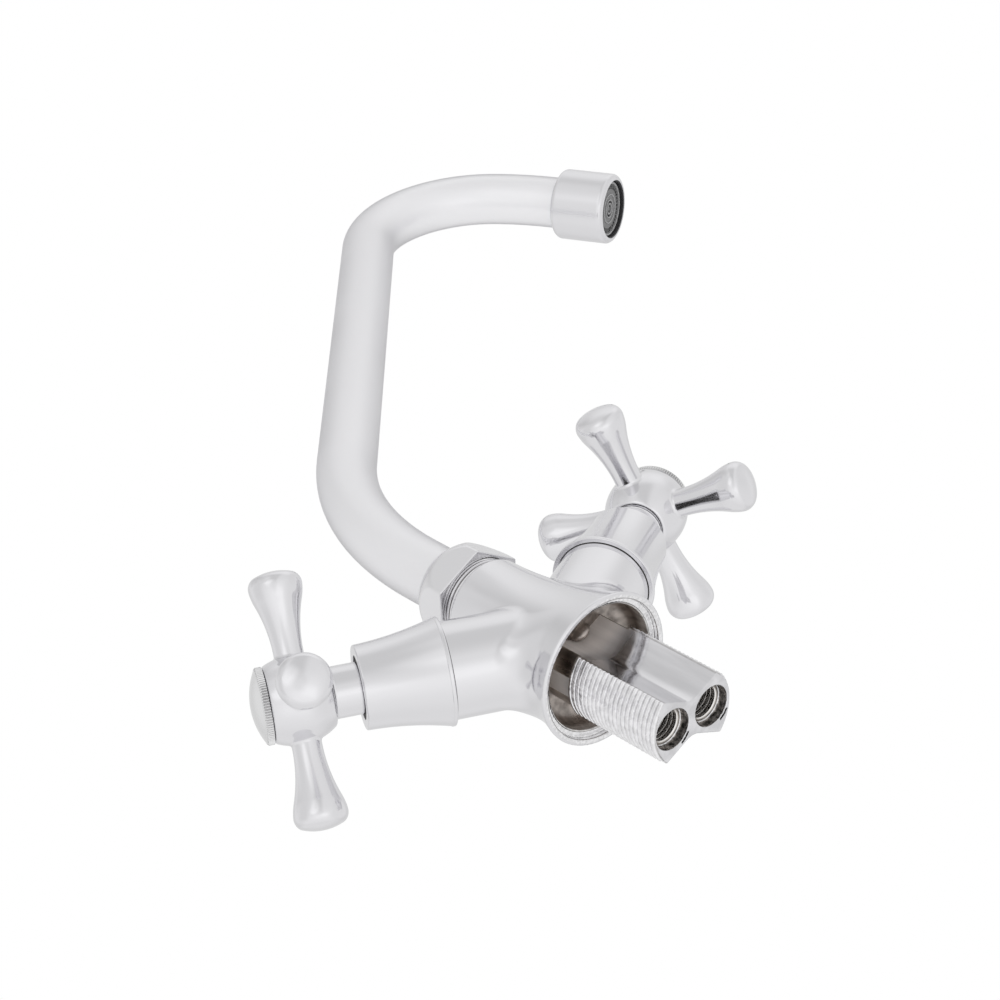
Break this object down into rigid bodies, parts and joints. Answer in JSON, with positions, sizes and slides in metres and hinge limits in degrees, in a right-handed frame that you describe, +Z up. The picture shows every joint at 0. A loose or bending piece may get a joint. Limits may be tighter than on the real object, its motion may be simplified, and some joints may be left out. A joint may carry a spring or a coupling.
{
  "type": "deck mixer tap",
  "caption": "Deck-mounted mixer tap with cross handles on raised side arms, a forked threaded shank below, and a bent swivel spout that ends in an aerator.",
  "frame": {"origin": "centre of the base flange's seating face, where the tap rests on the deck", "axes": "+Z up through the body, -Y the front, -X the hot side, +X the cold side; the spout points to +X at rest"},
  "size_m": [0.2967, 0.065, 0.3045],
  "materials": {
    "body_chrome": "polished chrome plate on a brass casting",
    "chrome": "polished chrome plate",
    "cap_chrome": "polished chrome plate with a knurled rim",
    "tube_chrome": "soft polished chrome plate on a drawn tube",
    "brass": "machined, bare",
    "steel": "plain stainless steel",
    "ceramic": "lapped ceramic",
    "seal_rubber": "black rubber",
    "insert_plastic": "moulded dark grey"
  },
  "bodies": {
    "fixed_body": {"body_casting": "body_chrome", "spout_nut": "chrome", "hot_bonnet_cover": "chrome", "hot_valve_housing": "brass", "hot_seat_seal": "seal_rubber", "hot_fixed_disc": "ceramic", "cold_bonnet_cover": "chrome", "cold_valve_housing": "brass", "cold_seat_seal": "seal_rubber", "cold_fixed_disc": "ceramic"},
    "spout": {"spout_tube": "tube_chrome", "spout_tail": "brass", "spout_collar": "brass", "spout_o_rings": "seal_rubber", "outlet_ferrule": "brass", "aerator_housing": "chrome", "aerator_gasket": "seal_rubber", "aerator_insert": "insert_plastic", "aerator_screen": "steel"},
    "hot_control": {"hot_rotating_disc": "ceramic", "hot_spindle": "brass", "hot_spindle_o_ring": "seal_rubber", "hot_circlip": "steel", "hot_handle": "chrome", "hot_handle_screw": "steel", "hot_index_cap": "cap_chrome"},
    "cold_control": {"cold_rotating_disc": "ceramic", "cold_spindle": "brass", "cold_spindle_o_ring": "seal_rubber", "cold_circlip": "steel", "cold_handle": "chrome", "cold_handle_screw": "steel", "cold_index_cap": "cap_chrome"}
  },
  "joints": [
    {"name": "spout_swivel", "type": "hinge", "parent": "fixed_body", "child": "spout", "pos_m": [0, 0, 0.05], "axis": [0, 0, 1], "continuous": true},
    {"name": "hot_handle_turn", "type": "hinge", "parent": "fixed_body", "child": "hot_control", "pos_m": [0, 0, 0.0155], "axis": [-0.8829, 0, 0.4695], "range_deg": [0, 180]},
    {"name": "cold_handle_turn", "type": "hinge", "parent": "fixed_body", "child": "cold_control", "pos_m": [0, 0, 0.0155], "axis": [0.8829, 0, 0.4695], "range_deg": [0, 180]}
  ]
}
